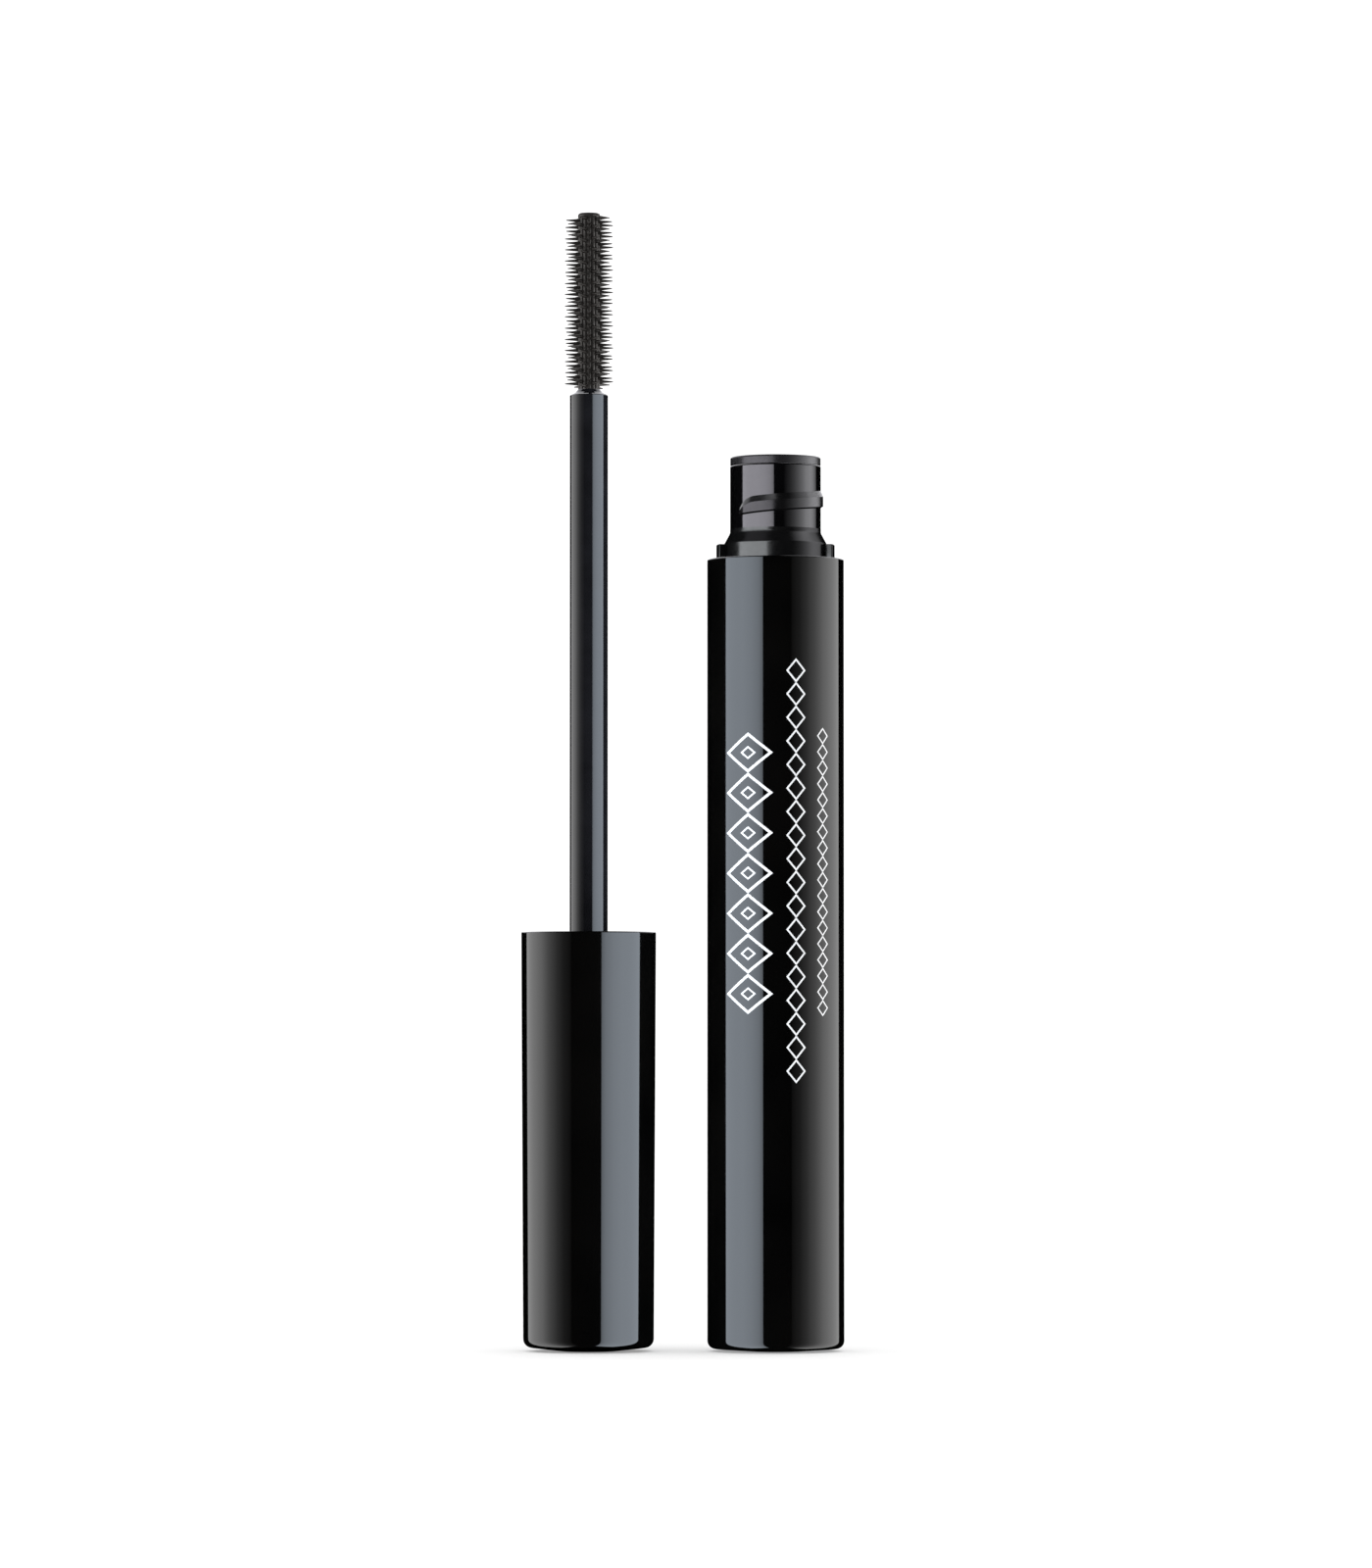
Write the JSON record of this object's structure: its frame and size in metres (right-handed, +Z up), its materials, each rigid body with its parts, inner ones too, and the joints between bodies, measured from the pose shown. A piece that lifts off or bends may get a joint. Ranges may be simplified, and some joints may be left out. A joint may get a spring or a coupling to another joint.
{
  "type": "mascara tube",
  "caption": "Open cylindrical mascara: glossy tube with threaded neck and wiper, and a screw cap with its applicator rod and brush standing beside it.",
  "frame": {"origin": "centre of the tube's flat base, on the surface it stands on", "axes": "+Z up along the tube's axis towards its neck; the cap and wand stand beside the tube at -X; -Y is the front"},
  "size_m": [0.033, 0.014, 0.1167],
  "materials": {
    "gloss_black": "high gloss black lacquer",
    "neck_black": "glossy moulded black",
    "wiper_grey": "satin dark grey, soft",
    "mascara": "wet black paste",
    "liner_black": "moulded satin black",
    "gasket": "soft off-white",
    "rod_black": "glossy moulded black",
    "brush_black": "matt elastomer",
    "label": "satin blank label"
  },
  "bodies": {
    "tube": {"tube_sleeve": "gloss_black", "inner_bottle": "neck_black", "wiper": "wiper_grey", "mascara_fill": "mascara"},
    "end_label": {"cap_end_label": "label"},
    "gasket": {"cap_gasket": "gasket"},
    "wand": {"cap_shell": "gloss_black", "inner_cap": "liner_black", "rod": "rod_black", "brush_core": "brush_black", "brush_bristles": "brush_black"}
  },
  "joints": [
    {"name": "wand_turn_over", "type": "hinge", "parent": "tube", "child": "end_label", "pos_m": [-0.00958, 0, 0.10808], "axis": [0, 1, 0], "range_deg": [0, 180]},
    {"name": "wand_insert", "type": "slide", "parent": "end_label", "child": "gasket", "axis": [0, 0, 1], "range_m": [0, 0.0921]},
    {"name": "cap_twist", "type": "hinge", "parent": "gasket", "child": "wand", "pos_m": [-0.01915, 0, 0], "axis": [0, 0, 1], "range_deg": [0, 360]}
  ]
}
